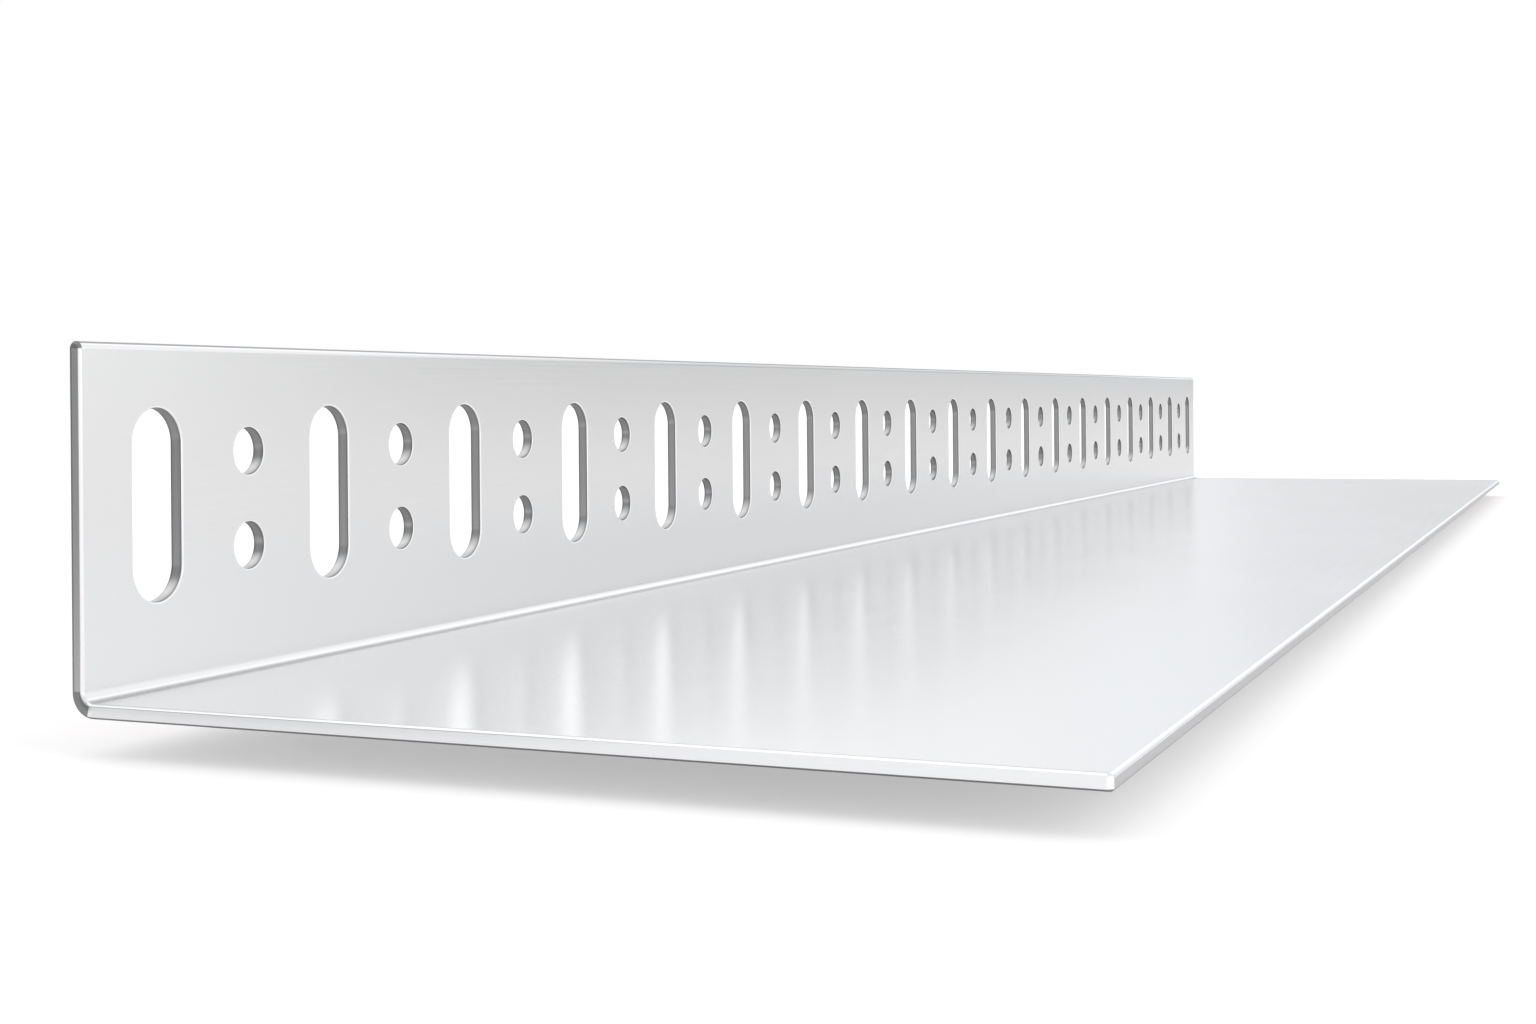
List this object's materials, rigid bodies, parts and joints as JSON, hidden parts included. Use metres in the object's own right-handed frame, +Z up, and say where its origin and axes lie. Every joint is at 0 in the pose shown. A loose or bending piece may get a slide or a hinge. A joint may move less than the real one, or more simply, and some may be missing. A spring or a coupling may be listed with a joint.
{
  "type": "perforated metal bead",
  "caption": "Perforated edge bead: an angle of bent aluminium sheet, a wide flat flange with a low upright leg pierced by upright slots and pairs of round holes for fixing.",
  "frame": {"origin": "middle of the bounding box at its underside, on the flange's flat lower face", "axes": "+Y along the length of the stock, +X from the leg towards the flange's free edge, +Z up along the leg"},
  "size_m": [0.14, 0.75, 0.05],
  "materials": {
    "aluminium_sheet": "mill finish, pale satin sheen with fine lengthwise rolling grain and broken edges"
  },
  "bodies": {
    "root": {"perforated_angle": "aluminium_sheet"}
  },
  "joints": []
}
